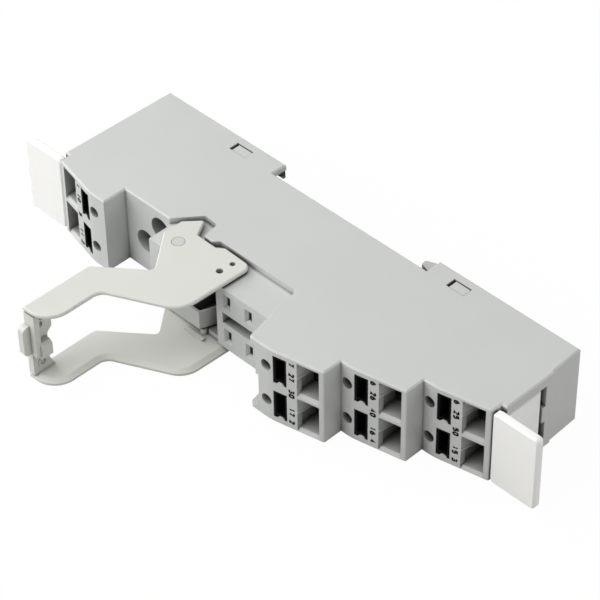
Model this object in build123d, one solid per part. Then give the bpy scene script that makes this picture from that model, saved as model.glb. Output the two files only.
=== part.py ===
from build123d import *
from math import atan2, degrees, sqrt
import os

# Slim relay socket for a 35 mm mounting rail, lying on its flat side.
# Frame: X runs along the socket, +Y points at the rail, +Z is across the narrow width.
# The origin is the middle of the seat that rests on the rail. All sizes are in millimetres.

os.makedirs("parts", exist_ok=True)

# Overall body
body_width = 15.5
cover_thick = 1.2
end_left = 47.0
end_right = 47.7
end_bulge = 0.6
rear_height = 3.2
rail_gap = 35.65
corner_round = 0.3
edge_break = 0.25

# Terminal steps at the front; heights are measured from the rail seat
first_tier_height = 31.0
last_tier_height = 19.0
tier_pitch = 12.03
first_tier_corner = 23.0
tier_count = 3
first_tier_width = 14.4
left_block_height = 25.2
left_block_corner = 46.05
left_block_width = 13.5
face_drop = 2.2
face_run = 9.8
face_bend_radius = 12.0
corner_step = 2.2
wall_height = 20.35

# Relay seat between the lever arms
seat_height = 25.3
seat_left = -21.2
seat_right = 7.5
relay_pin_pitch = 5.04
relay_pin_last = 2.35
relay_coil_pin = -18.2
row_margin = 4.0
row_offset = 0.1
bay_inset = 1.3
bay_rib = 0.6
bay_rib_start = 0.5
bay_edge = 0.6
mouth_length = 1.75
mouth_width = 2.9
mouth_depth = 0.6
blade_slot_length = 0.85
blade_slot_width = 2.1
fork_room_length = 2.7
fork_room_width = 3.5
fork_room_lead = 0.3
key_groove_left = -3.8
key_groove_width = 2.2
key_groove_depth = 3.0

# Open gap in the middle of the seat
gap_left = -9.6
gap_right = -5.2
gap_depth = 8.0
gap_slant = 1.3
gap_side_wall = 2.15
well_width = 5.1
well_reach = 2.0
hollow_wall = 1.2
hollow_inset = 0.4
hollow_reach = 5.3
hollow_depth = 12.0
peg_slot_depth = 0.5
peg_room = 0.25

# Slanting holes in the wall beside the seat: x and z of each
wall_holes = [(-24.0, 3.9), (-27.9, -1.05)]
wall_hole_radius = 2.2
wall_hole_depth = 6.0
wall_hole_angle = 25.0

# Terminal openings, measured inward from the outer corner of each step
funnel_start = 0.9
funnel_width = 4.0
funnel_wall = 1.0
funnel_lip = 0.5
funnel_undercut = 0.5
funnel_ramp_start = 1.0
funnel_lead = 3.4
key_slot_start = 6.8
key_slot_width = 2.5
key_slot_wall = 1.8
key_guide_wall = 0.45
key_guide_depth = 0.1
key_nub_place = 7.95
key_nub_width = 1.3
key_nub_height = 0.5
key_nub_length = 2.2
probe_place = 10.75
probe_diameter = 2.1
probe_depth = 6.5

# Cavities inside the body
floor_thick = 1.0
front_wall = 6.0
pocket_start = 1.7
pocket_width = 8.7
pocket_depth = 8.9
ledge_width = 0.6
duct_front = 9.6
duct_rear = 2.6
duct_end = 1.5
divider_thick = 1.1

# Snap latches between the tub and its cover
latch_places = [-26.1, 24.4]
latch_length = 3.8
latch_width = 2.1
latch_centre = 0.55
latch_gap = 0.3
latch_root = 0.5

# Metal parts
strip_thick = 0.6
strip_width = 3.0
strip_place = 6.0
spring_thick = 0.35
spring_width = 4.6
clamp_gap = 0.03
clamp_margin = 0.5
clamp_heel = 3.0
clamp_rear = 7.6
clamp_front = 1.2
clamp_bend = 1.3
clamp_window = 3.3
fork_gap = 0.4
fork_length = 5.0
fork_depth = 1.7
gap_fork_depth = 3.6
first_bus_level = 8.6
bus_level_step = 2.4
coil_bus_level = 6.2

# Lever; places on it are measured from its pivot
recess_depth = 1.2
arm_thick = 1.05
arm_rim = 0.6
arm_rim_slope = 1.0
arm_edge_break = 0.2
lever_side_gap = 0.1
pivot_x = -16.17
pivot_height = 23.28
pivot_radius = 1.1
pivot_gap = 0.07
lever_reach = 28.3
handle_width = 5.9
handle_offset = 5.95
bar_thick = 1.25
bar_depth = 4.4
bar_notch_low = -4.6
bar_notch_high = 0.7
bar_notch_depth = 1.0
strap_width = 2.45
strap_depth = 1.1
strap_low = -2.2
tab_centre = 1.2
tab_height = 6.0
tab_rise = 1.5
tab_corner = 0.9
nub_centre = -1.3
nub_height = 3.4
nub_reach = 2.9
nub_start = 0.9
nub_width = 2.1
nub_corner = 0.6
ring_places = [-4.6, 3.45]
ring_depth = 1.9
ring_hole_radius = 0.6
ring_radius = 0.95
ring_rise = 0.15
peg_place = (7.42, -1.85)
peg_radius = 0.6
peg_length = 1.15
rib_place = (6.6, -3.25)
rib_length = 4.4
rib_width = 0.7
rib_rise = 0.3
arm_holes = [(10.45, 2.35, 0.5), (10.2, -0.3, 0.64)]

# Rail foot
foot_thick = 1.9
foot_width = 7.4
foot_length = 20.3
foot_overhang = 2.1
foot_flange = 1.0
foot_travel = 2.4
foot_spring_turns = 3
foot_spring_thick = 0.3
foot_spring_width = 1.4
foot_spring_margin = 1.6
squeezed_spring = 3.8
rail_lip = 1.15
hook_overhang = 1.4
slide_gap = 0.15

# Marker plates
marker_start = 0.32
marker_length = 9.4
marker_thick = 1.55
marker_side_gap = 0.25
marker_corner = 1.2
marker_edge_break = 0.3
marker_web = 1.0
marker_web_start = 0.2
marker_reach = 9.0
tongue_width = 3.6
tongue_reach = 2.2
recess_length = 9.3
recess_low_wall = 2.45
recess_high_wall = 1.85
fit_gap = 0.1

# Values that follow from the sizes above
half = body_width / 2
cover_base = half - cover_thick
rows = [row_offset + row_margin - half, row_offset + half - row_margin]
funnel_height = rows[1] - rows[0] - funnel_wall
key_slot_height = rows[1] - rows[0] - key_slot_wall
relay_pins = {
    "coil": relay_coil_pin,
    "common": relay_pin_last - 2 * relay_pin_pitch,
    "open": relay_pin_last - relay_pin_pitch,
    "closed": relay_pin_last,
}
fork_depths = {use: gap_fork_depth if use == "common" else fork_depth for use in relay_pins}
tier_drop = (first_tier_height - last_tier_height) / (tier_count - 1)
tier_corners = [first_tier_corner + k * tier_pitch for k in range(tier_count)]
tier_fronts = [k * tier_drop - first_tier_height for k in range(tier_count)]
cavity_floor = floor_thick - half
divider_base = row_offset - divider_thick / 2
pivot = (pivot_x, -pivot_height)
foot_end = rail_gap / 2 - foot_overhang + foot_length
slide_end = foot_end + foot_travel + squeezed_spring

# Outline of a lever arm: x and y from its pivot, and the radius of the corner
arm_outline = [
    (-handle_offset, -lever_reach, 0),
    (-handle_offset, -14.24, 1.2),
    (2.38, -7.44, 0.9),
    (-3.56, 0.0, 0.5),
    (-3.54, 3.95, 0.4),
    (-1.0, 6.75, 0.3),
    (-0.6, 6.3, 0),
    (1.03, 3.46, 0),
    (5.43, 3.39, 0),
    (6.71, 4.33, 0),
    (13.05, 4.14, 1.5),
    (12.7, -10.87, 4.4),
    (handle_width - handle_offset, -17.16, 2.2),
    (handle_width - handle_offset, -lever_reach, 4.3),
]

# Rear edge of the hollow that an arm turns in, in the same terms
recess_edge = [
    (-1.53, 7.58, 0.6),
    (1.5, 7.43, 0.8),
    (2.1, 3.88, 0.3),
    (4.0, 3.73, 0.2),
    (5.0, 4.88, 0.4),
]


def block(x0, x1, y0, y1, z0, z1):
    """A block between two limits on each axis."""
    centre = Pos((x0 + x1) / 2, (y0 + y1) / 2, (z0 + z1) / 2)
    return centre * Box(abs(x1 - x0), abs(y1 - y0), abs(z1 - z0))


def prism(corners, z0, z1):
    """A plate cut to an outline. Each corner is x, y and, where it is rounded, its radius."""
    points = [(c[0], c[1]) for c in corners]
    radii = [c[2] if len(c) > 2 else 0 for c in corners]
    face = make_face(FilletPolyline(points, radius=radii, close=True))
    return extrude(Pos(0, 0, z0) * face, amount=z1 - z0, dir=(0, 0, 1))


def rod(x, y, radius, z0, z1):
    """A round rod or hole along the width of the socket."""
    return Pos(x, y, (z0 + z1) / 2) * Cylinder(radius, abs(z1 - z0))


def strip(points, radii, thick, width, z):
    """A flat metal strip, folded along a path, with its width across the socket."""
    path = FilletPolyline([(x, y, z) for x, y in points], radius=radii)
    start = Plane(origin=path @ 0, z_dir=path % 0, x_dir=(0, 0, 1))
    return sweep(start * Rectangle(width, thick), path=path, transition=Transition.RIGHT)


def step_face(corner, front, inner, side):
    """Front of one terminal step: flat at its inner side, sloping back to its outer corner."""
    return [
        (inner, front),
        (corner - side * face_run, front, face_bend_radius),
        (corner, front + face_drop, corner_round),
    ]


def face_level(front, inward):
    """Level of a step's sloping face at a distance in from its outer corner."""
    return front + face_drop * max(1 - inward / face_run, 0)


def end_steps(corner, front, side):
    """The small set-back between a terminal step's outer corner and the end wall."""
    y = front + face_drop + corner_step
    return [(corner + side * 0.25, y - 0.1), (corner + side * 1.25, y)]


def side_outline():
    """Outline of the whole socket seen from its flat side."""
    right = []
    for k in range(tier_count):
        inner = tier_corners[k - 1] if k else tier_corners[0] - first_tier_width
        right += step_face(tier_corners[k], tier_fronts[k], inner, 1)
    left = step_face(-left_block_corner, -left_block_height, left_block_width - left_block_corner, -1)
    seat_edge = (right[0][0], right[0][1], bay_edge)
    outline = [(-end_left, rear_height)]
    outline += end_steps(-left_block_corner, -left_block_height, -1)[::-1]
    outline += left[::-1]
    outline += [
        (left_block_width - left_block_corner, -wall_height),
        (seat_left, -wall_height),
        (seat_left, -seat_height),
        (seat_right, -seat_height),
        seat_edge,
    ]
    outline += right[1:]
    outline += end_steps(tier_corners[-1], tier_fronts[-1], 1)
    outline += [
        (end_right + end_bulge, -3.7),
        (end_right + end_bulge / 2, -3.3),
        (end_right, rear_height),
        (rail_gap / 2, rear_height),
        (rail_gap / 2, 0),
        (-rail_gap / 2, 0),
        (-rail_gap / 2, rear_height),
    ]
    return outline


def flat_moulding(z0, z1, outer):
    """The socket's outline between two levels, with its edge broken on the outer face."""
    plate = prism(side_outline(), z0, z1)
    return chamfer(plate.edges().group_by(Axis.Z)[outer], edge_break)


def from_pivot(outline):
    """Corners that were measured from the lever's pivot, in the frame of the socket."""
    return [(pivot[0] + x, pivot[1] + y, radius) for x, y, radius in outline]


def lever_recess(z0, z1):
    """Hollow in a flat side that an arm of the lever lies and turns in."""
    front = -first_tier_height - 2
    left = seat_left - 0.35
    edge = from_pivot(recess_edge)
    outline = [(left, front), (left, -wall_height, 0.2)] + edge
    outline += [
        (seat_right - 1.1, edge[-1][1], 0.8),
        (seat_right, -seat_height),
        (seat_right, front),
    ]
    return prism(outline, z0, z1)


def terminal_spots():
    """Corner, front and direction of every terminal step, from the left end to the right."""
    spots = [(-left_block_corner, -left_block_height, -1)]
    spots += [(tier_corners[k], tier_fronts[k], 1) for k in range(tier_count)]
    return spots


def across(corner, side, near, far):
    """Two X limits at distances in from a step's outer corner, in rising order."""
    return sorted((corner - side * near, corner - side * far))


def contact_cavity(grow, z0, z1):
    """Room for one layer of contacts: a pocket in each step, their shafts and the duct."""
    first = -left_block_corner + strip_place - duct_end
    last = tier_corners[-1] - strip_place + duct_end
    room = block(first, last, -duct_front - grow, -duct_rear + grow / 2, z0, z1)
    for corner, front, side in terminal_spots():
        x0, x1 = across(corner, side, pocket_start, pocket_start + pocket_width)
        top = front + front_wall
        room += block(x0 - grow, x1 + grow, top - grow, top + pocket_depth + grow, z0, z1)
        x0, x1 = across(corner, side, strip_place - 1.0, strip_place + 1.0)
        room += block(x0 - grow, x1 + grow, top, -duct_front + 1, z0, z1)
    return room


def funnel_lead_in(corner, front, side, low):
    """Wedge that breaks the lower lip of a wire funnel, along the slope of its step."""
    inward = funnel_start + funnel_width / 2
    lip = Pos(corner - side * inward, face_level(front, inward), low)
    slope = Rot(0, 0, side * degrees(atan2(face_drop, face_run)))
    size = funnel_lip * sqrt(2)
    return lip * slope * Rot(45, 0, 0) * Box(funnel_width, size, size)


def terminal_openings():
    """Wire funnel, key slot and probe hole of all eight terminals, as one cutting shape."""
    cut = Part()
    for corner, front, side in terminal_spots():
        for z in rows:
            low = z - funnel_height / 2
            rear = front + front_wall + 0.5
            x0, x1 = across(corner, side, funnel_start, funnel_start + funnel_width)
            cut += block(x0, x1, front - 1, rear, low, low + funnel_height)
            cut += funnel_lead_in(corner, front, side, low)
            far = funnel_start + funnel_width
            x0, x1 = across(corner, side, far, far + funnel_undercut)
            cut += block(x0, x1, front + face_drop, rear, low, z)
            low = z - key_slot_height / 2
            x0, x1 = across(corner, side, key_slot_start, key_slot_start + key_slot_width)
            cut += block(x0, x1, front - 1, rear + 0.5, low, low + key_slot_height)
            hole = Pos(corner - side * probe_place, front + probe_depth / 2 - 0.5, z)
            cut += hole * Rot(90, 0, 0) * Cylinder(probe_diameter / 2, probe_depth + 1)
    return cut


def funnel_ramps(z0, z1):
    """Sloping lead-ins that narrow each wire funnel on its inner side, over its upper half."""
    ramps = Part()
    for corner, front, side in terminal_spots():
        inner = corner - side * (funnel_start + funnel_width)
        for z in rows:
            low = max(z + 0.1, z0)
            high = min(z + funnel_height / 2, z1)
            if high - low > 0.05:
                start = front + funnel_ramp_start
                ramps += prism(
                    [
                        (inner, start),
                        (inner + side * funnel_undercut, start + funnel_lead),
                        (inner, start + funnel_lead),
                    ],
                    low,
                    high,
                )
            ramps += key_nub(corner, front, side, z)
    return ramps


def key_nub(corner, front, side, z):
    """Small nub on the lower edge of a key slot, which guides the key's blade."""
    x = corner - side * key_nub_place
    base = z - key_slot_height / 2
    reach = key_nub_width / 2
    nub = block(x - reach, x + reach, front, front + key_nub_length, base - 0.1, base + key_nub_height)
    return chamfer(nub.edges().filter_by(Axis.Y).group_by(Axis.Z)[-1], key_nub_height * 0.8)


def key_guide(corner, front, side, z):
    """Black sleeve in a key slot that leads the key's blade to the clamp."""
    x0, x1 = across(corner, side, key_slot_start, key_slot_start + key_slot_width)
    low = z - key_slot_height / 2
    high = low + key_slot_height
    rear = front + front_wall
    gap = fit_gap / 2
    sleeve = block(x0 + gap, x1 - gap, front - 1, rear, low + gap, high - gap)
    sleeve &= Pos(0, key_guide_depth, 0) * prism(side_outline(), -half, half)
    wall = key_guide_wall
    sleeve -= block(x0 + wall, x1 - wall, front - 1, rear + 1, low + 2 * wall, high - wall)
    x = corner - side * key_nub_place
    reach = key_nub_width / 2 + gap
    rear = front + key_nub_length + gap
    return sleeve - block(x - reach, x + reach, front - 1, rear, low, low + key_nub_height + gap)


def relay_openings():
    """Mouths and pockets for the relay's blades in the seat face."""
    cut = Part()
    for use, x in relay_pins.items():
        lead = fork_depths[use] - fork_room_lead
        for z in rows:
            if use != "common":
                face = Plane(origin=(x, -seat_height - 0.01, z), x_dir=(1, 0, 0), z_dir=(0, 1, 0))
                slot = Rectangle(blade_slot_length, blade_slot_width)
                cut += loft([face * Rectangle(mouth_length, mouth_width), face.offset(mouth_depth) * slot])
                cut += extrude(face.offset(mouth_depth - 0.1) * slot, amount=lead)
            x0, x1 = x - fork_room_length / 2, x + fork_room_length / 2
            low, high = z - fork_room_width / 2, z + fork_room_width / 2
            cut += block(x0, x1, lead - seat_height, 1 - duct_front, low, high)
    low = row_offset - key_groove_width / 2
    rear = -seat_height + key_groove_depth
    cut += block(key_groove_left, seat_right + 2, -seat_height - 1, rear, low, low + key_groove_width)
    return cut


def centre_gap():
    """Open gap in the seat for the middle blades, the hollow beside it and the pegs' room."""
    front = -seat_height - 1
    rear = -seat_height + gap_depth
    low = gap_side_wall - half
    slant = prism(
        [
            (gap_left, front),
            (gap_left, -seat_height),
            (gap_left + gap_slant, -seat_height + 2 * gap_slant),
            (gap_left + gap_slant, rear),
            (gap_right, rear),
            (gap_right, front),
        ],
        low,
        -low,
    )
    well = block(gap_left - well_reach, gap_right, front, rear, -well_width / 2, well_width / 2)
    x0, x1 = gap_left - hollow_reach, gap_left - hollow_inset
    hollow = block(x0, x1, hollow_wall - seat_height, hollow_depth - seat_height, low, -low)
    pegs = block(gap_left, gap_right, front, -seat_height + peg_slot_depth, -half, half)
    pegs += rod(pivot[0] + peg_place[0], pivot[1] + peg_place[1], peg_radius + peg_room, -half, half)
    return slant + well + hollow + pegs


def relay_bay(z0, z1, inset):
    """Room for the relay's end, cut back into the side of the first step."""
    front = -first_tier_height
    wall = tier_corners[0] - first_tier_width + inset
    return prism(
        [
            (seat_right - 1, -seat_height),
            (seat_right + inset, -seat_height),
            (wall, front + bay_edge, 0.4),
            (wall + bay_edge, front, 0.4),
            (wall + bay_edge, front - 1),
            (seat_right - 1, front - 1),
        ],
        z0,
        z1,
    )


def arm_entry():
    """Rounded relief under the wall beside the seat, which clears the lower arm."""
    left = seat_left - handle_width
    side = block(left, seat_left, -wall_height - 1, -wall_height + 1.2, -half - 1, recess_depth - half)
    return fillet(side.edges().filter_by(Axis.Y).group_by(Axis.Z)[-1].sort_by(Axis.X)[0], 1.0)


def marker_recess(corner, front, side):
    """Hollow in an end wall that holds the web of a marker plate."""
    x0, x1 = sorted((corner + side * 0.05, corner + side * 3))
    y = front + face_drop + corner_step
    return block(x0, x1, y - 1, y + recess_length, recess_low_wall - half, half - recess_high_wall)


def foot_section(x0, x1, top, grow):
    """T-shaped bar: the rail foot, or its slide when it is grown by the running gap."""
    wide = foot_width / 2 + grow
    narrow = wide - foot_flange
    base = rail_lip - grow
    flange = block(x0, x1, base, rail_lip + foot_thick / 2 + grow, -wide, wide)
    return flange + block(x0, x1, base, top, -narrow, narrow)


def housing_body():
    """Moulded tub with the lower flat side, all inner walls, the seat and the rail hook."""
    body = flat_moulding(-half, cover_base, 0)
    body -= lever_recess(-half - 1, recess_depth - half)
    body -= arm_entry()
    body -= contact_cavity(0, cavity_floor, divider_base + 0.01)
    body -= contact_cavity(ledge_width, divider_base, cover_base + 1)
    body -= terminal_openings()
    body -= relay_openings()
    body -= centre_gap()
    body -= relay_bay(recess_depth - half, bay_rib_start, bay_inset)
    body -= relay_bay(bay_rib_start, cover_base + 1, bay_inset - bay_rib)
    body += funnel_ramps(-half, cover_base) & prism(side_outline(), -half, cover_base)
    for corner, front, side in (terminal_spots()[0], terminal_spots()[-1]):
        body -= marker_recess(corner, front, side)
    for x, z in wall_holes:
        hole = Rot(90, 0, -wall_hole_angle) * Cylinder(wall_hole_radius, wall_hole_depth)
        body -= Pos(x, wall_hole_depth / 4 - wall_height, z) * hole
    arm_face = cover_base + lever_side_gap + arm_thick
    body += rod(pivot[0], pivot[1], pivot_radius, cover_base - 1, arm_face)
    body += rod(pivot[0], pivot[1], pivot_radius, -arm_face, 1 - cover_base)
    for x in latch_places:
        body += latch_tongue(x)
    body -= foot_section(rail_gap / 2 - 1, slide_end, rear_height + 1, slide_gap)
    return body + rail_hook()


def rail_hook():
    """Fixed hook that reaches over the rail's first edge."""
    x = -rail_gap / 2
    return prism(
        [
            (x - 1, rail_lip),
            (x + hook_overhang, rail_lip, 0.15),
            (x + hook_overhang - 0.1, rail_lip + 0.6, 0.2),
            (x - 0.1, rear_height - 0.2),
            (x - 1, rear_height - 0.2),
        ],
        -half,
        cover_base,
    )


def latch_tongue(x):
    """Snap tongue that stands up from the tub into a window of the cover."""
    x0, x1 = x - latch_length / 2 + latch_gap, x + latch_length / 2 - fit_gap
    y0 = latch_centre - latch_width / 2 + fit_gap
    y1 = latch_centre + latch_width / 2 - latch_gap
    tongue = block(x0, x1, y0, y1, cover_base - latch_root, half - fit_gap)
    return chamfer(tongue.edges().group_by(Axis.Z)[-1].sort_by(Axis.Y)[-1], latch_gap)


def side_cover():
    """Flat cover that snaps on the tub and closes the contact chambers."""
    cover = flat_moulding(cover_base, half, -1)
    cover -= lever_recess(cover_base - 1, half + 1)
    cover -= terminal_openings()
    for x in latch_places:
        cover -= Pos(x, latch_centre, half) * Box(latch_length, latch_width, 4 * cover_thick)
    return cover


def divider():
    """Insulating plate between the two layers of contacts, laid on the tub's ledge."""
    return contact_cavity(ledge_width - fit_gap, divider_base, divider_base + divider_thick)


def cage_clamp(corner, front, side, z):
    """Stainless cage spring: it leans on the strip, loops round and crosses to the wire."""
    top = front + front_wall
    tip = strip_place + strip_thick / 2 + spring_thick / 2 + clamp_gap
    far = pocket_start + pocket_width - clamp_margin
    near = pocket_start + clamp_margin
    path = [(tip, clamp_heel), (tip, clamp_rear), (far, clamp_rear), (far, clamp_front), (near, clamp_front)]
    points = [(corner - side * u, top + v) for u, v in path]
    spring = strip(points, [clamp_bend, clamp_bend, spring_thick], spring_thick, spring_width, z)
    x0, x1 = across(corner, side, near + spring_thick, tip + spring_thick / 2)
    return spring - block(x0, x1, top, top + 2 * clamp_front, z - clamp_window / 2, z + clamp_window / 2)


def contact_strip(corner, front, side, z, level, pin_x, mouth):
    """Copper strip from a clamp, along the duct, up to the fork that grips a relay blade."""
    x = corner - side * strip_place
    start = front + front_wall + 0.5
    route = [(x, start), (x, -level), (pin_x, -level), (pin_x, mouth + fork_length)]
    run = strip(route, [0, 0], strip_thick, strip_width, z)
    half_gap = fork_gap / 2
    leaf = [
        (0, fork_length + 0.2),
        (0, fork_length - 0.8),
        (half_gap, fork_length - 1.4),
        (half_gap - 0.15, 1.2),
        (half_gap + 0.45, 0),
        (half_gap + 0.8, 0),
        (half_gap + 0.25, 1.3),
        (half_gap + 0.4, fork_length - 1.2),
        (half_gap + 0.1, fork_length + 0.2),
    ]
    fork = Part()
    for way in (-1, 1):
        outline = [(pin_x + way * u, mouth + v) for u, v in leaf]
        fork += prism(outline, z - strip_width / 2, z + strip_width / 2)
    return run + fork


def retaining_lever():
    """U-shaped moulded lever that holds the relay down and pushes it out."""
    px, py = pivot
    inner = cover_base + lever_side_gap
    outer = inner + arm_thick
    arm = prism(from_pivot(arm_outline), inner, outer)
    arm = chamfer(arm.edges().group_by(Axis.Z)[-1], arm_edge_break)
    base = arm.faces().sort_by(Axis.Z)[0]
    rim = base.edges().sort_by(Axis.X)[-1]
    arm = chamfer(rim, arm_rim_slope, length2=arm_thick - arm_rim, reference=base)
    arm -= rod(px, py, pivot_radius + pivot_gap, inner - 1, outer + 1)
    for x, y, radius in arm_holes:
        arm -= rod(px + x, py + y, radius, inner - 1, outer + 1)
    arm += rod(px + peg_place[0], py + peg_place[1], peg_radius, inner - peg_length, inner + 0.1)
    arm += Pos(px + rib_place[0], py + rib_place[1], inner) * Box(rib_length, rib_width, 2 * rib_rise)
    lever = arm + mirror(arm, about=Plane.XY)
    return lever + lever_bar(px - handle_offset, py - lever_reach, inner)


def lever_bar(x0, y0, inner):
    """Bar between the lever's arms, with its strap, thumb tab, nub and two ringed holes."""
    y1 = y0 + bar_depth
    y2 = y1 - bar_notch_depth
    profile = [
        (y0, -inner),
        (y1, -inner),
        (y2, bar_notch_low),
        (y2, bar_notch_high),
        (y1, bar_notch_high + bar_notch_depth),
        (y1, inner),
        (y0, inner),
    ]
    side = make_face(Polyline([(x0, y, z) for y, z in profile], close=True))
    bar = extrude(side, amount=bar_thick, dir=(1, 0, 0))
    bar += block(x0, x0 + strap_width, y0, y0 + strap_depth, strap_low, inner)
    tab = Pos(x0 + bar_thick / 2, y0, tab_centre) * Box(bar_thick, 2 * tab_rise, tab_height)
    bar += fillet(tab.edges().filter_by(Axis.X).group_by(Axis.Y)[0], tab_corner)
    low = nub_centre - nub_height / 2
    start = y0 + nub_start
    nub = block(x0, x0 + nub_reach, start, start + nub_width, low, low + nub_height)
    bar += chamfer(nub.edges().filter_by(Axis.Y).group_by(Axis.X)[-1], nub_corner)
    face = x0 + bar_thick
    for z in ring_places:
        centre = Pos(face, y0 + ring_depth, z) * Rot(0, 90, 0)
        bar += centre * Cylinder(ring_radius, 2 * ring_rise)
        bar -= centre * Cylinder(ring_hole_radius, 3 * bar_thick)
    return bar


def rail_foot():
    """Sliding foot that hooks behind the rail's second edge."""
    tip = rail_gap / 2 - foot_overhang
    over_rail = tip + foot_overhang + slide_gap
    foot = foot_section(tip, foot_end, rear_height - 0.1, 0)
    foot -= block(tip - 1, over_rail, rail_lip + foot_thick / 2, rear_height, -half, half)
    foot = chamfer(foot.edges().filter_by(Axis.Z).group_by(Axis.X)[0].sort_by(Axis.Y)[-1], 0.6)
    return foot - block(foot_end - 4.2, foot_end - 1.8, rail_lip + 0.8, rear_height + 1, -1.6, 1.6)


def foot_spring():
    """Flat zigzag spring that pushes the foot against the rail."""
    start = foot_end + fit_gap + foot_spring_thick / 2
    length = slide_end - fit_gap - foot_spring_thick / 2 - start
    reach = foot_width / 2 - foot_spring_margin
    y = rail_lip + foot_thick / 2
    points = [(start, y, 0)]
    for k in range(foot_spring_turns):
        x = start + length * (k + 0.5) / foot_spring_turns
        points.append((x - foot_spring_thick, y, reach if k % 2 else -reach))
        points.append((x + foot_spring_thick, y, reach if k % 2 else -reach))
    points.append((start + length, y, 0))
    path = Polyline(points)
    section = Plane(origin=path @ 0, z_dir=path % 0, x_dir=(0, 1, 0))
    band = section * Rectangle(foot_spring_width, foot_spring_thick)
    return sweep(band, path=path, transition=Transition.RIGHT)


def marker_plate(corner, front, side):
    """White label plate with a web that pushes into the end wall."""
    y = front + face_drop
    edge = half - marker_side_gap
    x0, x1 = sorted((corner + side * marker_start, corner + side * marker_length))
    plate = block(x0, x1, y, y + marker_thick, -edge, edge)
    plate = fillet(plate.edges().filter_by(Axis.Y).group_by(Axis.X)[-1 if side > 0 else 0], marker_corner)
    plate = chamfer(plate.faces().sort_by(Axis.Y)[0].edges(), marker_edge_break)
    low = recess_low_wall - half + fit_gap
    high = half - recess_high_wall - fit_gap
    near = marker_web_start
    x0, x1 = sorted((corner + side * near, corner + side * (near + marker_web)))
    plate += block(x0, x1, y + marker_thick - 0.1, y + marker_reach, low, high)
    low = (low + high - tongue_width) / 2
    far = y + marker_reach + tongue_reach
    return plate + block(x0, x1, y + marker_reach - 0.1, far, low, low + tongue_width)


def save(shape, name):
    """Write one piece of the socket."""
    export_step(shape, "parts/" + name + ".step")


save(housing_body(), "housing_body")
save(side_cover(), "side_cover")
save(divider(), "contact_divider")
save(retaining_lever(), "retaining_lever")
save(rail_foot(), "rail_foot")
save(foot_spring(), "foot_spring")
spots = terminal_spots()
save(marker_plate(*spots[0]), "marker_plate_left")
save(marker_plate(*spots[-1]), "marker_plate_right")

# Which blade of the relay each step feeds, and the level of its strips in the duct
feeds = [
    ("coil", coil_bus_level),
    ("closed", first_bus_level),
    ("open", first_bus_level - bus_level_step),
    ("common", first_bus_level - 2 * bus_level_step),
]
for (corner, front, side), (use, level) in zip(spots, feeds):
    mouth = fork_depths[use] - seat_height
    for z, row in zip(rows, ("lower", "upper")):
        save(cage_clamp(corner, front, side, z), f"cage_clamp_{use}_{row}")
        save(
            contact_strip(corner, front, side, z, level, relay_pins[use], mouth),
            f"contact_strip_{use}_{row}",
        )
        save(key_guide(corner, front, side, z), f"key_guide_{use}_{row}")
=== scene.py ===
import math

import bpy
from mathutils import Matrix, Vector


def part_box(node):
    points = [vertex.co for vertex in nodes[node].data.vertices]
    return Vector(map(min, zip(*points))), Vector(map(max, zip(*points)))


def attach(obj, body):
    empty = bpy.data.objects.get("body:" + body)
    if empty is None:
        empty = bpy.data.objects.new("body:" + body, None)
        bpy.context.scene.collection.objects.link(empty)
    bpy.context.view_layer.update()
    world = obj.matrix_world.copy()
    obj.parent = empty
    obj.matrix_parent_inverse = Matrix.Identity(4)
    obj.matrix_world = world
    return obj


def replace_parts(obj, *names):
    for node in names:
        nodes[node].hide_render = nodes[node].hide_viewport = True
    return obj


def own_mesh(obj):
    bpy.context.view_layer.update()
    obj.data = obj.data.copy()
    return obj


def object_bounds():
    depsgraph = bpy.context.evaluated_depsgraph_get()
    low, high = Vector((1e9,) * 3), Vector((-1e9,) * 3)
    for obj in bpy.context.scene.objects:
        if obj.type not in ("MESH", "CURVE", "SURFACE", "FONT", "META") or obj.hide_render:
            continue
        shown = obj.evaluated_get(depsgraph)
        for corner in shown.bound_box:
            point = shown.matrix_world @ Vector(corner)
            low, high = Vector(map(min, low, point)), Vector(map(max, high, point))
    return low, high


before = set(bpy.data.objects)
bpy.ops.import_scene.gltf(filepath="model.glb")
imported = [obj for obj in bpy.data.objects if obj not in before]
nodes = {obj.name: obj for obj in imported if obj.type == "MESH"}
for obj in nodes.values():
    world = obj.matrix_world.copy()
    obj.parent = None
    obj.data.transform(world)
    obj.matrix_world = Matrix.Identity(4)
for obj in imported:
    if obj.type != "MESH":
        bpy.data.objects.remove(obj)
cad_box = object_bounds()
bpy.ops.object.select_all(action="DESELECT")


# Body. A tub and its flat snap-on cover, moulded in one light grey glass-filled polyamide, and the
# divider between the contact layers in a darker regrind of it. The spark-eroded moulds leave a
# fine grain, a slightly cloudy colour and softly rounded edges on every plastic piece.

moulded = bpy.data.node_groups.new("moulded_surface", "ShaderNodeTree")
for name, kind in (("Plastic", "NodeSocketColor"), ("Cloud", "NodeSocketFloat"),
                   ("Grain", "NodeSocketFloat"), ("Shine", "NodeSocketFloat"),
                   ("Crevice shade", "NodeSocketFloat")):
    moulded.interface.new_socket(name, in_out="INPUT", socket_type=kind)
for name, kind in (("Color", "NodeSocketColor"), ("Roughness", "NodeSocketFloat"),
                   ("Normal", "NodeSocketVector")):
    moulded.interface.new_socket(name, in_out="OUTPUT", socket_type=kind)
inside = moulded.nodes
links = moulded.links
entry = inside.new("NodeGroupInput")
out = inside.new("NodeGroupOutput")
place = inside.new("ShaderNodeTexCoord")

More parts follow.
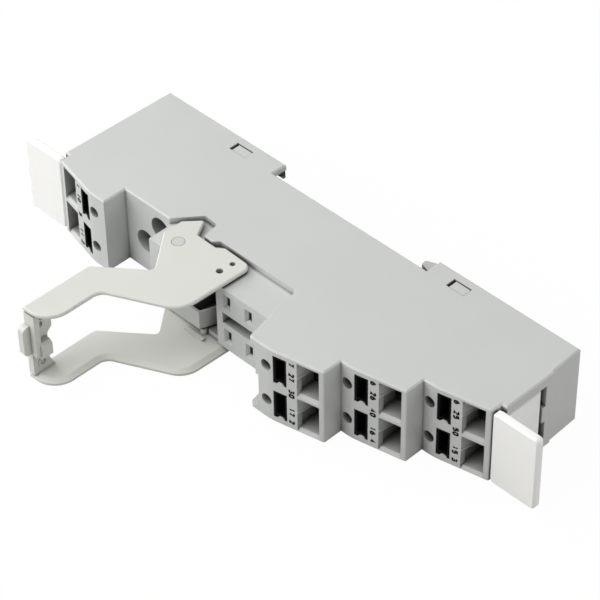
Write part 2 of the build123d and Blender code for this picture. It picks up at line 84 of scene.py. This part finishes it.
# The colour is cloudy.
cloud = inside.new("ShaderNodeTexNoise")
cloud.inputs["Scale"].default_value = 90.0
cloud.inputs["Detail"].default_value = 3.0
links.new(place.outputs["Object"], cloud.inputs["Vector"])
shade = inside.new("ShaderNodeMapRange")
shade.inputs["From Min"].default_value = 0.3
shade.inputs["From Max"].default_value = 0.7
shade.inputs["To Min"].default_value = 1.0
links.new(cloud.outputs["Fac"], shade.inputs["Value"])
lowest = inside.new("ShaderNodeMath")
lowest.operation = "SUBTRACT"
lowest.inputs[0].default_value = 1.0
links.new(entry.outputs["Cloud"], lowest.inputs[1])
links.new(lowest.outputs[0], shade.inputs["To Max"])
tint = inside.new("ShaderNodeVectorMath")
tint.operation = "SCALE"
links.new(entry.outputs["Plastic"], tint.inputs[0])
links.new(shade.outputs["Result"], tint.inputs["Scale"])

# Painted shade: corners, slots and deep rooms are darkened in the colour, over three reaches.
shaded = tint.outputs["Vector"]
for reach, from_min, from_max, darkest in ((0.0008, 0.1, 0.85, 0.3), (0.0030, 0.05, 0.45, 0.3),
                                           (0.0070, 0.05, 0.5, 0.2)):
    crevice_shade = inside.new("ShaderNodeAmbientOcclusion")
    crevice_shade.samples = 8
    crevice_shade.inputs["Distance"].default_value = reach
    depth = inside.new("ShaderNodeMapRange")
    depth.inputs["From Min"].default_value = from_min
    depth.inputs["From Max"].default_value = from_max
    depth.inputs["To Min"].default_value = darkest
    links.new(crevice_shade.outputs["AO"], depth.inputs["Value"])
    painted_shade = inside.new("ShaderNodeVectorMath")
    painted_shade.operation = "SCALE"
    links.new(shaded, painted_shade.inputs[0])
    links.new(depth.outputs["Result"], painted_shade.inputs["Scale"])
    shaded = painted_shade.outputs["Vector"]
# The painted shade is mixed in by the amount that each plastic asks for.
shade_blend = inside.new("ShaderNodeMix")
shade_blend.data_type = "RGBA"
links.new(entry.outputs["Crevice shade"], shade_blend.inputs[0])
links.new(tint.outputs["Vector"], shade_blend.inputs[6])
links.new(shaded, shade_blend.inputs[7])
links.new(shade_blend.outputs[2], out.inputs["Color"])

# The grain lies on softly rounded edges, and spreads the shine.
grain = inside.new("ShaderNodeTexNoise")
grain.inputs["Scale"].default_value = 5200.0
grain.inputs["Detail"].default_value = 2.0
links.new(place.outputs["Object"], grain.inputs["Vector"])
edges = inside.new("ShaderNodeBevel")
edges.samples = 6
edges.inputs["Radius"].default_value = 0.0001
bump = inside.new("ShaderNodeBump")
bump.inputs["Distance"].default_value = 0.00002
links.new(edges.outputs["Normal"], bump.inputs["Normal"])
links.new(entry.outputs["Grain"], bump.inputs["Strength"])
links.new(grain.outputs["Fac"], bump.inputs["Height"])
links.new(bump.outputs["Normal"], out.inputs["Normal"])
spread = inside.new("ShaderNodeMath")
spread.operation = "MULTIPLY_ADD"
spread.inputs[1].default_value = 0.12
links.new(grain.outputs["Fac"], spread.inputs[0])
links.new(entry.outputs["Shine"], spread.inputs[2])
links.new(spread.outputs[0], out.inputs["Roughness"])


def moulded_plastic(name, colour, cloud=0.03, grain=0.25, roughness=0.42, crevice_shade=1.0, gloss=0.5):
    """A plastic with the moulded surface above, in its own colour and finish, and with painted shade in
    its crevices.
    """
    material = bpy.data.materials.new(name)
    material.use_nodes = True
    tree = material.node_tree
    shader = tree.nodes["Principled BSDF"]
    surface = tree.nodes.new("ShaderNodeGroup")
    surface.node_tree = moulded
    surface.inputs["Plastic"].default_value = (*colour, 1.0)
    surface.inputs["Cloud"].default_value = cloud
    surface.inputs["Grain"].default_value = grain
    surface.inputs["Shine"].default_value = roughness
    surface.inputs["Crevice shade"].default_value = crevice_shade
    tree.links.new(surface.outputs["Color"], shader.inputs["Base Color"])
    tree.links.new(surface.outputs["Roughness"], shader.inputs["Roughness"])
    tree.links.new(surface.outputs["Normal"], shader.inputs["Normal"])
    shader.inputs["IOR"].default_value = 1.5
    shader.inputs["Specular IOR Level"].default_value = gloss
    return material


def dress(material, *names):
    """Give CAD pieces their finish."""
    for name in names:
        mesh = nodes[name].data
        mesh.materials.clear()
        mesh.materials.append(material)


def worked(name):
    """A copy of a CAD piece that stands for it and can be worked on."""
    piece = bpy.data.objects.new(f"{name}_worked", nodes[name].data.copy())
    bpy.context.scene.collection.objects.link(piece)
    weld = piece.modifiers.new("weld", "WELD")
    weld.merge_threshold = 0.000001
    bpy.context.view_layer.objects.active = piece
    bpy.ops.object.modifier_apply(modifier="weld")
    bpy.ops.mesh.customdata_custom_splitnormals_clear()
    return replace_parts(piece, name)


def prism(name, outline, low, high):
    """A flat solid: an outline in XY between two heights."""
    bpy.ops.mesh.primitive_circle_add(vertices=len(outline), fill_type="NGON")
    piece = bpy.context.object
    piece.name = name
    for vertex, (x, y) in zip(piece.data.vertices, outline):
        vertex.co = (x, y, low)
    bpy.ops.object.mode_set(mode="EDIT")
    bpy.ops.mesh.select_all(action="SELECT")
    bpy.ops.mesh.extrude_region_move(TRANSFORM_OT_translate={"value": (0.0, 0.0, high - low)})
    bpy.ops.mesh.select_all(action="SELECT")
    bpy.ops.mesh.normals_make_consistent(inside=False)
    bpy.ops.object.mode_set(mode="OBJECT")
    return piece


def block(name, *ranges):
    """A box that fills a range in X, one in Y and one in Z."""
    low, high = (Vector(corner) for corner in zip(*ranges))
    bpy.ops.mesh.primitive_cube_add(size=1.0, location=(low + high) / 2, scale=high - low)
    bpy.ops.object.transform_apply(location=True, rotation=False, scale=True)
    piece = bpy.context.object
    piece.name = name
    return piece


def merge(piece, other, operation):
    """Join another solid to a piece, or cut it away, and drop it."""
    step = piece.modifiers.new("merge", "BOOLEAN")
    step.operation = operation
    step.solver = "EXACT"
    step.object = other
    bpy.context.view_layer.objects.active = piece
    bpy.ops.object.modifier_apply(modifier="merge")
    bpy.data.objects.remove(other)


def finish(piece, material, body):
    """Smooth shading over small angles, the material and the body of a worked piece."""
    bpy.ops.object.select_all(action="DESELECT")
    piece.select_set(True)
    bpy.context.view_layer.objects.active = piece
    bpy.ops.object.shade_smooth_by_angle(angle=math.radians(28.0))
    bpy.ops.object.select_all(action="DESELECT")
    piece.data.materials.clear()
    piece.data.materials.append(material)
    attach(piece, body)


body_grey = moulded_plastic("body_grey", (0.555, 0.565, 0.548))
divider_grey = moulded_plastic("divider_grey", (0.30, 0.31, 0.31))
dress(body_grey, "side_cover")
dress(divider_grey, "contact_divider")
housing = worked("housing_body")
cover_low, cover_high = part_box("side_cover")

# Room behind the rail seat for the wide head of the rail foot, over its whole travel.
past = 0.0001
foot_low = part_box("rail_foot")[0]
foot_travel = 0.0024
foot_gap = 0.00015
foot_tip = 0.0021
slot_side = foot_low.x + foot_tip
head_end = slot_side + 0.0003
into_slot = 0.001
room_rear = 0.0042
room = block("head_room", (slot_side - into_slot, head_end + foot_travel + foot_gap),
             (foot_low.y - foot_gap, room_rear), (-cover_low.z, cover_low.z + past))
merge(housing, room, "DIFFERENCE")

# A thin-walled ledge in the lower half of the middle gap, open at its top. Its side slopes out
# and then runs straight to the rear.
seat_front = -0.0262
ledge_length = 0.0065
ledge_root = 0.0002
ledge_side = -0.0086
ledge_slope = (0.0011, 0.0029)
ledge_low = -0.0050
ledge_high = -0.0014
thick_wall = 0.00045
thin_wall = 0.0003
pocket_side = -0.01155
gap_side = pocket_side - ledge_root
gap_rear = seat_front + ledge_length
outer_side = ledge_side + ledge_slope[0]
ledge = [(gap_side, seat_front), (ledge_side, seat_front), (outer_side, seat_front + ledge_slope[1]),
         (outer_side, gap_rear), (gap_side, gap_rear)]
merge(housing, prism("gap_ledge", ledge, ledge_low, ledge_high), "UNION")
pocket_front = seat_front + thick_wall
pocket_rear = gap_rear - thin_wall
pocket_top = -0.0010
inner_side = outer_side - thick_wall
pocket = [(pocket_side, pocket_front), (ledge_side - thin_wall, pocket_front),
          (inner_side, seat_front + ledge_slope[1] + past), (inner_side, pocket_rear),
          (pocket_side, pocket_rear)]
merge(housing, prism("gap_pocket", pocket, ledge_low + thin_wall, pocket_top), "DIFFERENCE")

# The fixed hook stops short of the cover's tab.
tab_end = -0.01765
tab_left = tab_end - 0.0038
tab_right = tab_end + 0.0020
tab_depth = 0.0040
hook_top = 0.0034
tab_room = block("tab_room", (tab_left, tab_right), (0.0, tab_depth), (hook_top, cover_low.z))
merge(housing, tab_room, "DIFFERENCE")

# The snap tongues fill their windows up to the rear, and lead in from the left.
latch_places = (-0.0261, 0.0244)
tongue_left = 0.0016
tongue_right = 0.0018
rim_depth = (0.0009, 0.00138)
rim_height = (0.0060, cover_high.z - 0.0001)
lead_width = 0.0003
lead_depth = (-0.0006, 0.0014)
lead_height = (0.0068, 0.0080)
for x in latch_places:
    rim = block("latch_rim", (x - tongue_left, x + tongue_right), rim_depth, rim_height)
    merge(housing, rim, "UNION")
    start = x - tongue_left
    lead = block("latch_lead", (start - past, start + lead_width), lead_depth, lead_height)
    merge(housing, lead, "DIFFERENCE")

# Stops at the ends of the marker recesses, nearly flush with the end walls.
stop_root = 0.0003
stop_front = 0.00045
stop_rear = 0.0004
stop_width = (-0.0017, 0.00155)
for name, side, flush in (("marker_plate_left", -1, 0.00085), ("marker_plate_right", 1, 0.00105)):
    low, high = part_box(name)
    near = high.x if side < 0 else low.x
    stop = block("web_stop", sorted((near - side * stop_root, near + side * flush)),
                 (high.y - stop_front, high.y + stop_rear), stop_width)
    merge(housing, stop, "UNION")

# A rib in each wire funnel, which grows with the depth. Each step is given by its outer corner
# and by the side that it faces, and holds two rows.
steps = {
    "coil": (-0.04605, -0.0252, -1),
    "closed": (0.0230, -0.0310, 1),
    "open": (0.03503, -0.0250, 1),
    "common": (0.04706, -0.0190, 1),
}
rows = (-0.00365, 0.00385)
funnel_width = 0.0049
rib_start = 0.0011
rib_end = 0.0044
rib_heights = (0.00025, 0.0007)
rib_root = 0.0002
rib_slope = 0.0002
rib_middle = 0.00025
rib_half = 0.00015
for corner, front, side in steps.values():
    wall = corner - side * funnel_width
    root = wall - side * rib_root
    start = front + rib_start
    end = front + rib_end
    outline = [(root, start), (wall + side * rib_heights[0], start),
               (wall + side * rib_heights[1], end), (root, end)]
    for row in rows:
        middle = row + rib_middle
        rib = prism("funnel_rib", outline, middle - rib_half, middle + rib_half)
        for vertex in rib.data.vertices:
            if vertex.co.z > middle and side * (vertex.co.x - wall) > 0.0:
                vertex.co.x -= side * rib_slope
        merge(housing, rib, "UNION")
finish(housing, body_grey, "socket")


# Key guides. Black sleeves of plain polyamide, pushed into the key slots of the eight terminals.
# Their surface is dull, so that the slots look deep.

guide_black = moulded_plastic("guide_black", (0.004, 0.004, 0.004), cloud=0.2, roughness=0.6, gloss=0.05)
dress(guide_black, *[name for name in nodes if name.startswith("key_guide")])


# Lever. One U-shaped moulding in a warm, slightly shinier grey than the body, snapped over the
# two stubs beside the relay seat.

# The lever takes less of the painted crevice shade than the body.
lever_grey = moulded_plastic("lever_grey", (0.640, 0.645, 0.600), grain=0.12, roughness=0.36,
                             crevice_shade=0.7)
dress(lever_grey, "retaining_lever")


# Marker plates. Two pull-off plates of white plastic with rounded corners and broken edges, each
# with a chamfered web that is pushed into the recess of an end wall.

# The plates take little of the painted crevice shade.
marker_white = moulded_plastic("marker_white", (0.92, 0.915, 0.885), cloud=0.02, grain=0.15,
                               roughness=0.36, crevice_shade=0.15)
marker_radius = 0.0009
arc_steps = 4
plate_thick = 0.00155
plate_bevel = 0.0003
web_thick = 0.001
web_start = 0.0010
web_end = 0.0106
web_width = (-0.0052, 0.0058)
web_bevel = 0.00048
for name, side in (("marker_plate_left", -1), ("marker_plate_right", 1)):
    low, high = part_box(name)
    corners = ((high.x, high.z), (low.x, high.z), (low.x, low.z), (high.x, low.z))
    outline = []
    for turn, (x, z) in enumerate(corners):
        centre_x = x + marker_radius * (1 if x == low.x else -1)
        centre_z = z + marker_radius * (1 if z == low.z else -1)
        for k in range(arc_steps + 1):
            angle = math.radians(90.0 * (turn + k / arc_steps))
            outline.append((centre_x + marker_radius * math.cos(angle),
                            centre_z + marker_radius * math.sin(angle)))
    plate = prism(f"{name}_drawn", outline, -(low.y + plate_thick), -low.y)
    plate.data.transform(Matrix.Rotation(math.radians(90.0), 4, "X"))
    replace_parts(plate, name)
    near = high.x if side < 0 else low.x
    web = block("web", sorted((near, near + side * web_thick)), (low.y + web_start, low.y + web_end),
                web_width)
    for piece, width in ((plate, plate_bevel), (web, web_bevel)):
        edge = piece.modifiers.new("edge", "BEVEL")
        edge.width = width
        edge.limit_method = "ANGLE"
        edge.angle_limit = math.radians(60.0)
        bpy.context.view_layer.objects.active = piece
        bpy.ops.object.modifier_apply(modifier="edge")
    merge(plate, web, "UNION")
    finish(plate, marker_white, "socket")


# Rail foot. A sliding hook in the grey of the body, pushed against the rail by a flat zigzag
# spring. Its head is nearly as wide as the tub and slopes where the rail enters.

foot_grey = moulded_plastic("foot_grey", (0.50, 0.505, 0.49))
foot = worked("rail_foot")
tip_reach = 0.005
old_tip = block("old_tip", (foot_low.x - into_slot, slot_side), (0.0, tip_reach), (-tip_reach, tip_reach))
merge(foot, old_tip, "DIFFERENCE")
head_half = 0.0064
head_rear = 0.00348
head = [(0.01516, 0.00176), (0.01700, foot_low.y), (head_end, foot_low.y), (head_end, head_rear),
        (0.01670, head_rear), (0.01530, 0.00289), (0.01503, 0.00262)]
merge(foot, prism("foot_head", head, -head_half, head_half), "UNION")
finish(foot, foot_grey, "foot")


# Metal inside. The cage clamps and the foot's spring are rolled stainless steel; the contact
# strips are tinned brass. Rolling leaves fine lines along the strip.

def rolled_metal(name, colour, roughness):
    """A rolled sheet metal with fine lines and small changes of shine."""
    material = bpy.data.materials.new(name)
    material.use_nodes = True
    tree = material.node_tree
    shader = tree.nodes["Principled BSDF"]
    shader.inputs["Metallic"].default_value = 1.0
    where = tree.nodes.new("ShaderNodeTexCoord")
    stretch = tree.nodes.new("ShaderNodeMapping")
    stretch.inputs["Scale"].default_value = (400.0, 400.0, 9000.0)
    tree.links.new(where.outputs["Object"], stretch.inputs["Vector"])
    lines = tree.nodes.new("ShaderNodeTexNoise")
    lines.inputs["Scale"].default_value = 1.0
    tree.links.new(stretch.outputs["Vector"], lines.inputs["Vector"])
    tone = tree.nodes.new("ShaderNodeValToRGB")
    tone.color_ramp.elements[0].color = (*[c * 0.8 for c in colour], 1.0)
    tone.color_ramp.elements[1].color = (*colour, 1.0)
    tree.links.new(lines.outputs["Fac"], tone.inputs["Fac"])
    tree.links.new(tone.outputs["Color"], shader.inputs["Base Color"])
    shine = tree.nodes.new("ShaderNodeMapRange")
    shine.inputs["To Min"].default_value = roughness - 0.08
    shine.inputs["To Max"].default_value = roughness + 0.12
    tree.links.new(lines.outputs["Fac"], shine.inputs["Value"])
    tree.links.new(shine.outputs["Result"], shader.inputs["Roughness"])
    return material


spring_steel = rolled_metal("spring_steel", (0.62, 0.61, 0.59), 0.3)
dress(spring_steel, *[name for name in nodes if name.startswith("cage_clamp")])
spring = worked("foot_spring")
finish(spring, spring_steel, "socket")
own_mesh(spring)
tinned_brass = rolled_metal("tinned_brass", (0.72, 0.64, 0.48), 0.34)
dress(tinned_brass, *[name for name in nodes if name.startswith("contact_strip")])


# Terminal numbers. Small black figures pad-printed on the strip between the wire funnel and the
# key slot of each step, read with the socket's wide end up. Each figure is drawn with a round pen
# on a grid of 4 by 6, and pressed flat on the sloping face.

ink_black = moulded_plastic("ink_black", (0.004, 0.004, 0.004), cloud=0.3, grain=0.1, roughness=0.6,
                            gloss=0.15)
strokes = {
    "0": [(1, 0), (0, 1), (0, 5), (1, 6), (3, 6), (4, 5), (4, 1), (3, 0), (1, 0)],
    "1": [(1, 5), (2, 6), (2, 0)],
    "2": [(0, 5), (1, 6), (3, 6), (4, 5), (4, 4), (0, 0), (4, 0)],
    "3": [(0, 6), (4, 6), (2, 3.6), (3, 3.6), (4, 2.6), (4, 1), (3, 0), (1, 0), (0, 1)],
    "4": [(3, 0), (3, 6), (0, 2), (4, 2)],
    "5": [(4, 6), (0, 6), (0, 3.6), (3, 3.6), (4, 2.6), (4, 1), (3, 0), (0, 0)],
    "6": [(3, 6), (1, 5), (0, 3), (0, 1), (1, 0), (3, 0), (4, 1), (4, 2.4), (3, 3.4), (0.4, 3.4)],
    "7": [(0, 6), (4, 6), (1.5, 0)],
}
grid_unit = 0.00013
grid_middle = (2, 3)
pen_radius = 0.00018
pen_flatness = 0.1
pitch = 0.00095
lift = 0.00002
figures = {
    "coil": ("1", "10", "5", "11", "2"),
    "closed": ("7", "27", "30", "17", "2"),
    "open": ("6", "26", "40", "16", "4"),
    "common": ("6", "25", "50", "15", "3"),
}
heights = (0.0064, 0.0037, 0.0001, -0.0039, -0.0061)
face_width = 0.0098
face_drop = 0.0022
face_slope = math.atan2(face_drop, face_width)
inward = 0.00590
middle_drop = face_drop * (1 - inward / face_width)
for use, (corner, front, side) in steps.items():
    drawing = bpy.data.curves.new(f"terminal_numbers_{use}", "CURVE")
    drawing.dimensions = "3D"
    drawing.bevel_depth = pen_radius
    drawing.bevel_resolution = 1
    drawing.use_fill_caps = True
    for text, height in zip(figures[use], heights):
        for position, figure in enumerate(text):
            across = (position - (len(text) - 1) / 2) * pitch - height
            line = drawing.splines.new("POLY")
            line.points.add(len(strokes[figure]) - 1)
            for point, (x, y) in zip(line.points, strokes[figure]):
                right = across + (x - grid_middle[0]) * grid_unit
                point.co = (right, (y - grid_middle[1]) * grid_unit, 0.0, 1.0)
    numbers = bpy.data.objects.new(f"terminal_numbers_{use}", drawing)
    bpy.context.scene.collection.objects.link(numbers)
    numbers.select_set(True)
    bpy.context.view_layer.objects.active = numbers
    bpy.ops.object.convert(target="MESH")
    numbers = bpy.context.object
    lean = side * face_slope
    along = Vector((math.cos(lean), math.sin(lean), 0.0))
    out_of = Vector((math.sin(lean), -math.cos(lean), 0.0))
    spot = Vector((corner - side * inward, front + middle_drop, 0.0)) + out_of * lift
    numbers.data.transform(Matrix((
        (0.0, along.x, out_of.x * pen_flatness, spot.x),
        (0.0, along.y, out_of.y * pen_flatness, spot.y),
        (-1.0, 0.0, 0.0, 0.0),
        (0.0, 0.0, 0.0, 1.0),
    )))
    finish(numbers, ink_black, "socket")


# Studio. A white sheet under the socket, large soft lamps above, to the left and in front, two
# small ones at the ends, and a little plain white light all round.

floor_gap = 0.00002
bpy.ops.mesh.primitive_plane_add(size=6.0, location=(0.0, 0.0, cad_box[0][2] - floor_gap))
floor = bpy.context.object
floor.name = "floor"
paper = bpy.data.materials.new("white_paper")
paper.use_nodes = True
tree = paper.node_tree
tree.nodes.clear()
sheet = tree.nodes.new("ShaderNodeBsdfDiffuse")
sheet.inputs["Color"].default_value = (0.50, 0.50, 0.50, 1.0)
glow = tree.nodes.new("ShaderNodeEmission")
glow.inputs["Color"].default_value = (1.0, 1.0, 1.0, 1.0)
glow.inputs["Strength"].default_value = 1.02
rays = tree.nodes.new("ShaderNodeLightPath")
seen = rays.outputs["Is Camera Ray"]
for kind in ("Is Glossy Ray", "Is Transmission Ray"):
    either = tree.nodes.new("ShaderNodeMath")
    either.operation = "ADD"
    tree.links.new(seen, either.inputs[0])
    tree.links.new(rays.outputs[kind], either.inputs[1])
    seen = either.outputs[0]
share = tree.nodes.new("ShaderNodeMath")
share.operation = "MULTIPLY"
share.inputs[1].default_value = 0.95
tree.links.new(seen, share.inputs[0])
mix = tree.nodes.new("ShaderNodeMixShader")
tree.links.new(share.outputs[0], mix.inputs["Fac"])
tree.links.new(sheet.outputs[0], mix.inputs[1])
tree.links.new(glow.outputs[0], mix.inputs[2])
end = tree.nodes.new("ShaderNodeOutputMaterial")
tree.links.new(mix.outputs[0], end.inputs["Surface"])
floor.data.materials.append(paper)

world = bpy.data.worlds.new("studio")
bpy.context.scene.world = world
world.use_nodes = True
sky = world.node_tree.nodes["Background"]
sky.inputs["Color"].default_value = (1.0, 1.0, 1.0, 1.0)
sky.inputs["Strength"].default_value = 0.05


def lamp(name, place, target, size, power):
    """A square soft lamp that faces a point of the socket."""
    light = bpy.data.lights.new(name, "AREA")
    light.size = size
    light.energy = power
    holder = bpy.data.objects.new(name, light)
    bpy.context.scene.collection.objects.link(holder)
    holder.location = place
    holder.rotation_euler = (Vector(target) - Vector(place)).to_track_quat("-Z", "Y").to_euler()


aim = (0.0, -0.015, 0.0)
lamp("top_lamp", (0.0, 0.0, 0.60), aim, 0.60, 1.95)
lamp("left_lamp", (-0.45, -0.10, 0.22), aim, 0.40, 2.0)
lamp("front_lamp", (-0.15, -0.42, 0.30), aim, 0.40, 1.75)
lamp("end_lamp", (0.42, 0.20, 0.16), aim, 0.30, 0.55)
lamp("right_lamp", (0.50, -0.05, 0.22), aim, 0.40, 0.31)

bpy.ops.object.camera_add()
camera = bpy.context.object
camera.name = "camera"
camera.data.lens = 151.2
camera.data.sensor_width = 36.0
camera.data.clip_start = 0.01
camera.data.clip_end = 20.0
right = Vector((0.70376, 0.71034, -0.01165))
up = Vector((-0.46735, 0.47525, 0.74546))
back = Vector((0.53507, -0.51918, 0.66644))
eye = Vector((0.22363, -0.22834, 0.27587))
camera.matrix_world = Matrix((
    (right.x, up.x, back.x, eye.x),
    (right.y, up.y, back.y, eye.y),
    (right.z, up.z, back.z, eye.z),
    (0.0, 0.0, 0.0, 1.0),
))
bpy.context.scene.camera = camera
bpy.context.scene.view_settings.view_transform = "Standard"
